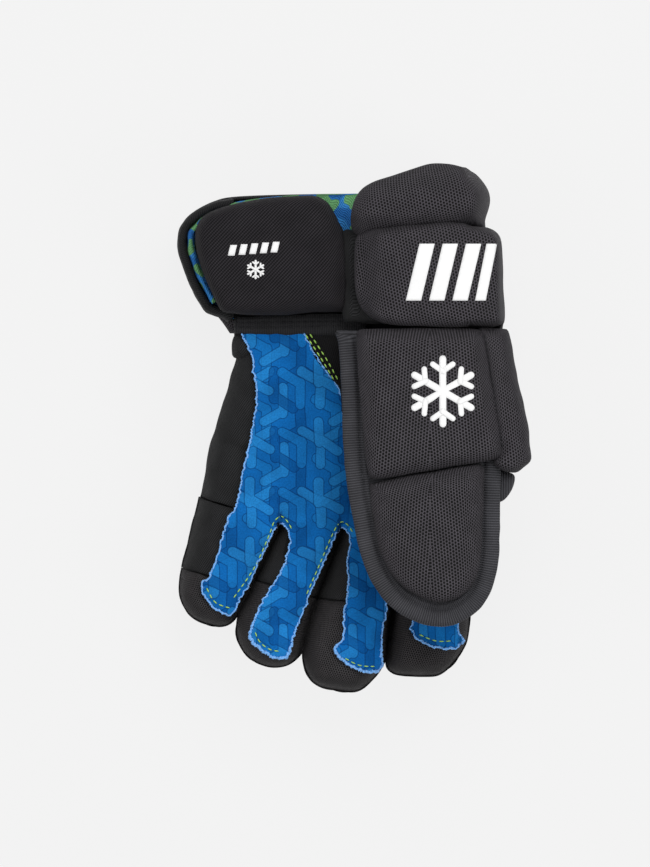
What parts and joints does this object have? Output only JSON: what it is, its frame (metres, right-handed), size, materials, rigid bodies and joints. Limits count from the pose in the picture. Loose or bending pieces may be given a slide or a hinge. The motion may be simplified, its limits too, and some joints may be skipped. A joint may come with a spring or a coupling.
{
  "type": "ice hockey glove",
  "caption": "Youth left-hand ice hockey player's glove lying palm up, with padded back rolls, jointed finger stalls, folded padded thumb, printed palm and open cuff.",
  "frame": {"origin": "centre of the bounding box on the floor, under the palm", "axes": "+Y from the fingertips to the cuff, +X to the thumb side, +Z out of the palm; the back of the glove lies on the floor"},
  "size_m": [0.153, 0.2286, 0.0876],
  "materials": {
    "pad_mesh": "coarse matt black polyester mesh over foam",
    "side_fabric": "fine matt black woven nylon",
    "flap_fabric": "smooth black knit",
    "grosgrain": "black ribbed tape",
    "palm_print": "blue printed synthetic suede",
    "cuff_lining": "blue and green brushed knit",
    "gusset_fabric": "black stretch knit",
    "inner_liner": "charcoal brushed knit",
    "insert_plastic": "natural polyethylene"
  },
  "bodies": {
    "hand": {"back_roll_wrist": "pad_mesh", "back_roll_middle": "pad_mesh", "back_roll_knuckle": "pad_mesh", "back_insert": "insert_plastic", "hand_liner": "inner_liner", "pinky_side_wrist": "side_fabric", "pinky_side_palm": "side_fabric", "pinky_side_knuckle": "side_fabric", "index_side_wall": "side_fabric", "palm_panel": "palm_print", "thumb_gusset": "gusset_fabric", "heel_binding": "grosgrain"},
    "cuff": {"cuff_back_roll_wrist": "pad_mesh", "cuff_back_roll_end": "pad_mesh", "cuff_insert": "insert_plastic", "cuff_pinky_wall": "side_fabric", "cuff_edge_binding": "grosgrain", "cuff_lining": "cuff_lining", "palm_flap": "flap_fabric", "cuff_band": "pad_mesh", "top_roll": "pad_mesh"},
    "thumb": {"thumb_upper_pad": "pad_mesh", "thumb_upper_insert": "insert_plastic", "thumb_side_pad": "pad_mesh", "thumb_upper_binding": "grosgrain", "thumb_sleeve": "gusset_fabric", "thumb_strip": "palm_print"},
    "thumb_tip": {"thumb_lower_pad": "pad_mesh", "thumb_lower_insert": "insert_plastic", "thumb_tip_binding": "grosgrain", "thumb_tip_sleeve": "gusset_fabric", "thumb_tip_strip": "palm_print"},
    "pinky_base": {"pinky_base_pad": "pad_mesh", "pinky_insert": "insert_plastic", "pinky_base_sleeve": "gusset_fabric", "pinky_base_strip": "palm_print"},
    "pinky_tip": {"pinky_tip_pad": "pad_mesh", "pinky_tip_sleeve": "gusset_fabric", "pinky_tip_strip": "palm_print"},
    "ring_base": {"ring_base_pad": "pad_mesh", "ring_insert": "insert_plastic", "ring_base_sleeve": "gusset_fabric", "ring_base_strip": "palm_print"},
    "ring_tip": {"ring_tip_pad": "pad_mesh", "ring_tip_sleeve": "gusset_fabric", "ring_tip_strip": "palm_print"},
    "middle_base": {"middle_base_pad": "pad_mesh", "middle_insert": "insert_plastic", "middle_base_sleeve": "gusset_fabric", "middle_base_strip": "palm_print"},
    "middle_tip": {"middle_tip_pad": "pad_mesh", "middle_tip_sleeve": "gusset_fabric", "middle_tip_strip": "palm_print"},
    "index_base": {"index_base_pad": "pad_mesh", "index_insert": "insert_plastic", "index_base_sleeve": "gusset_fabric", "index_base_strip": "palm_print"},
    "index_tip": {"index_tip_pad": "pad_mesh", "index_tip_sleeve": "gusset_fabric", "index_tip_strip": "palm_print"}
  },
  "joints": [
    {"name": "wrist_flex", "type": "hinge", "parent": "hand", "child": "cuff", "pos_m": [0, 0.045, 0.068], "axis": [1, 0, 0], "range_deg": [0, 15]},
    {"name": "thumb_swing", "type": "hinge", "parent": "hand", "child": "thumb", "pos_m": [0.058, 0.012, 0.042], "axis": [0, 1, 0], "range_deg": [0, 80], "stiffness_Nm_per_rad": 0.1},
    {"name": "thumb_tip_flex", "type": "hinge", "parent": "thumb", "child": "thumb_tip", "pos_m": [0.033, -0.01807, 0.05259], "axis": [0.9962, 0.0872, 0], "range_deg": [0, 15], "stiffness_Nm_per_rad": 0.3},
    {"name": "pinky_knuckle", "type": "hinge", "parent": "hand", "child": "pinky_base", "pos_m": [-0.0445, -0.037, 0.04], "axis": [-0.9537, 0.3007, 0], "range_deg": [0, 65], "stiffness_Nm_per_rad": 0.2},
    {"name": "pinky_middle", "type": "hinge", "parent": "pinky_base", "child": "pinky_tip", "pos_m": [-0.05394, -0.06693, 0.04274], "axis": [-0.9537, 0.3007, 0], "range_deg": [0, 75], "stiffness_Nm_per_rad": 0.2},
    {"name": "ring_knuckle", "type": "hinge", "parent": "hand", "child": "ring_base", "pos_m": [-0.0175, -0.038, 0.04], "axis": [-0.9598, 0.2807, 0], "range_deg": [0, 65], "stiffness_Nm_per_rad": 0.2},
    {"name": "ring_middle", "type": "hinge", "parent": "ring_base", "child": "ring_tip", "pos_m": [-0.02701, -0.07051, 0.04296], "axis": [-0.9598, 0.2807, 0], "range_deg": [0, 75], "stiffness_Nm_per_rad": 0.2},
    {"name": "middle_knuckle", "type": "hinge", "parent": "hand", "child": "middle_base", "pos_m": [0.008, -0.039, 0.04], "axis": [-0.9959, 0.0906, 0], "range_deg": [0, 30], "stiffness_Nm_per_rad": 0.2},
    {"name": "middle_middle", "type": "hinge", "parent": "middle_base", "child": "middle_tip", "pos_m": [0.00466, -0.07571, 0.04322], "axis": [-0.9959, 0.0906, 0], "range_deg": [0, 65], "stiffness_Nm_per_rad": 0.2},
    {"name": "index_knuckle", "type": "hinge", "parent": "hand", "child": "index_base", "pos_m": [0.033, -0.038, 0.04], "axis": [-1, 0, 0], "range_deg": [0, 22], "stiffness_Nm_per_rad": 0.2},
    {"name": "index_middle", "type": "hinge", "parent": "index_base", "child": "index_tip", "pos_m": [0.033, -0.07586, 0.04331], "axis": [-1, 0, 0], "range_deg": [0, 50], "stiffness_Nm_per_rad": 0.2}
  ]
}
